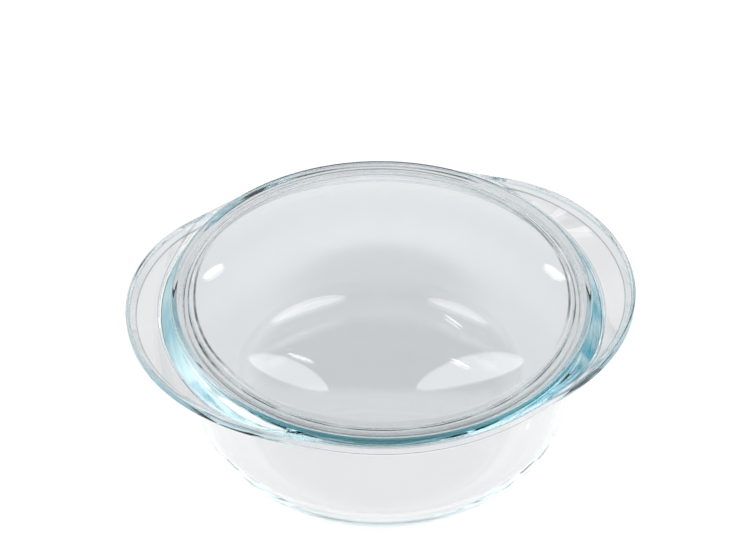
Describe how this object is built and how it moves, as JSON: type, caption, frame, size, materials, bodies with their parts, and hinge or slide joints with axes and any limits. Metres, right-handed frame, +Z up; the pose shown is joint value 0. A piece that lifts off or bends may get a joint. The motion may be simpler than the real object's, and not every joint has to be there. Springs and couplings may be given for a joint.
{
  "type": "covered casserole dish",
  "caption": "Round clear glass casserole dish with crescent ears on its rim and a loose domed glass lid that rests on the rim and lifts off.",
  "frame": {"origin": "centre of the dish's base, on the surface it stands on", "axes": "+Z up along the axis of the dish and the lid, +X along the two ears"},
  "size_m": [0.257, 0.2164, 0.12],
  "materials": {
    "dish_glass": "clear pressed heat-resistant glass, polished, faint green-blue at the edges",
    "lid_glass": "clear pressed heat-resistant glass, polished, faint green-blue at the edges"
  },
  "bodies": {
    "dish": {"dish": "dish_glass"},
    "lid": {"lid": "lid_glass"}
  },
  "joints": [
    {"name": "lid_lift", "type": "slide", "parent": "dish", "child": "lid", "axis": [0, 0, 1], "range_m": [0, 0.08]}
  ]
}
